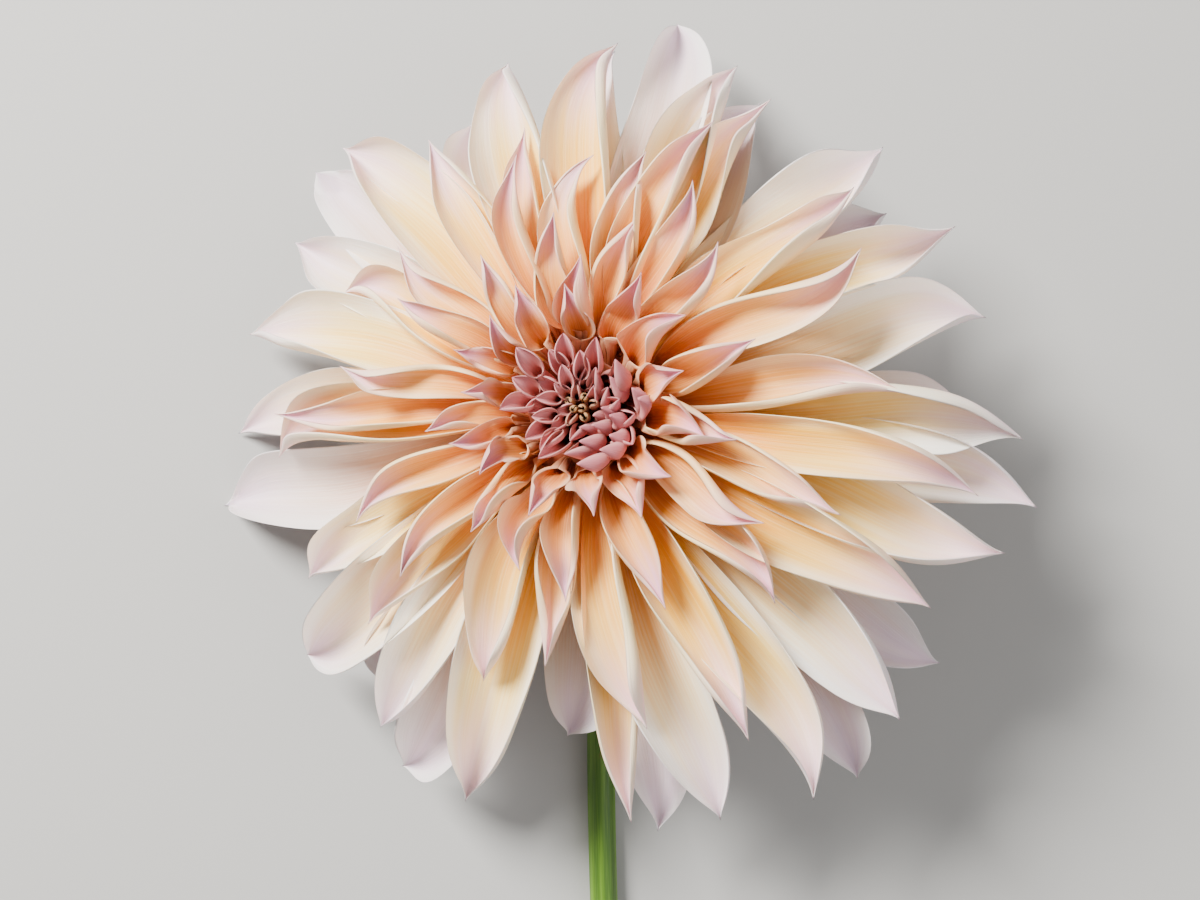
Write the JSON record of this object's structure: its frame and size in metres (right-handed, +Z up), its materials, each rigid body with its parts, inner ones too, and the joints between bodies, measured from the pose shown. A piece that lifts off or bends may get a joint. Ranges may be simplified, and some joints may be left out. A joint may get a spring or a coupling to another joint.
{
  "type": "dahlia flower",
  "caption": "Cut dahlia bloom lying face up: rows of pointed petals round a tight rolled centre, with bracts and a bent green stem.",
  "frame": {"origin": "on the surface that the flower lies on, under the middle of its outline seen from above", "axes": "+Z up from the surface, out of the face of the bloom; +Y from the cut end of the stem towards the bloom; +X to the right seen from above"},
  "size_m": [0.2262, 0.3124, 0.0828],
  "materials": {
    "petal": "satin",
    "centre_petal": "satin",
    "papery_bract": "matte",
    "green_bract": "satin",
    "stem_green": "satin"
  },
  "bodies": {
    "root": {"ray_florets": "petal", "centre_florets": "centre_petal", "inner_bracts": "papery_bract", "receptacle_and_bracts": "green_bract", "stem": "stem_green"}
  },
  "joints": []
}
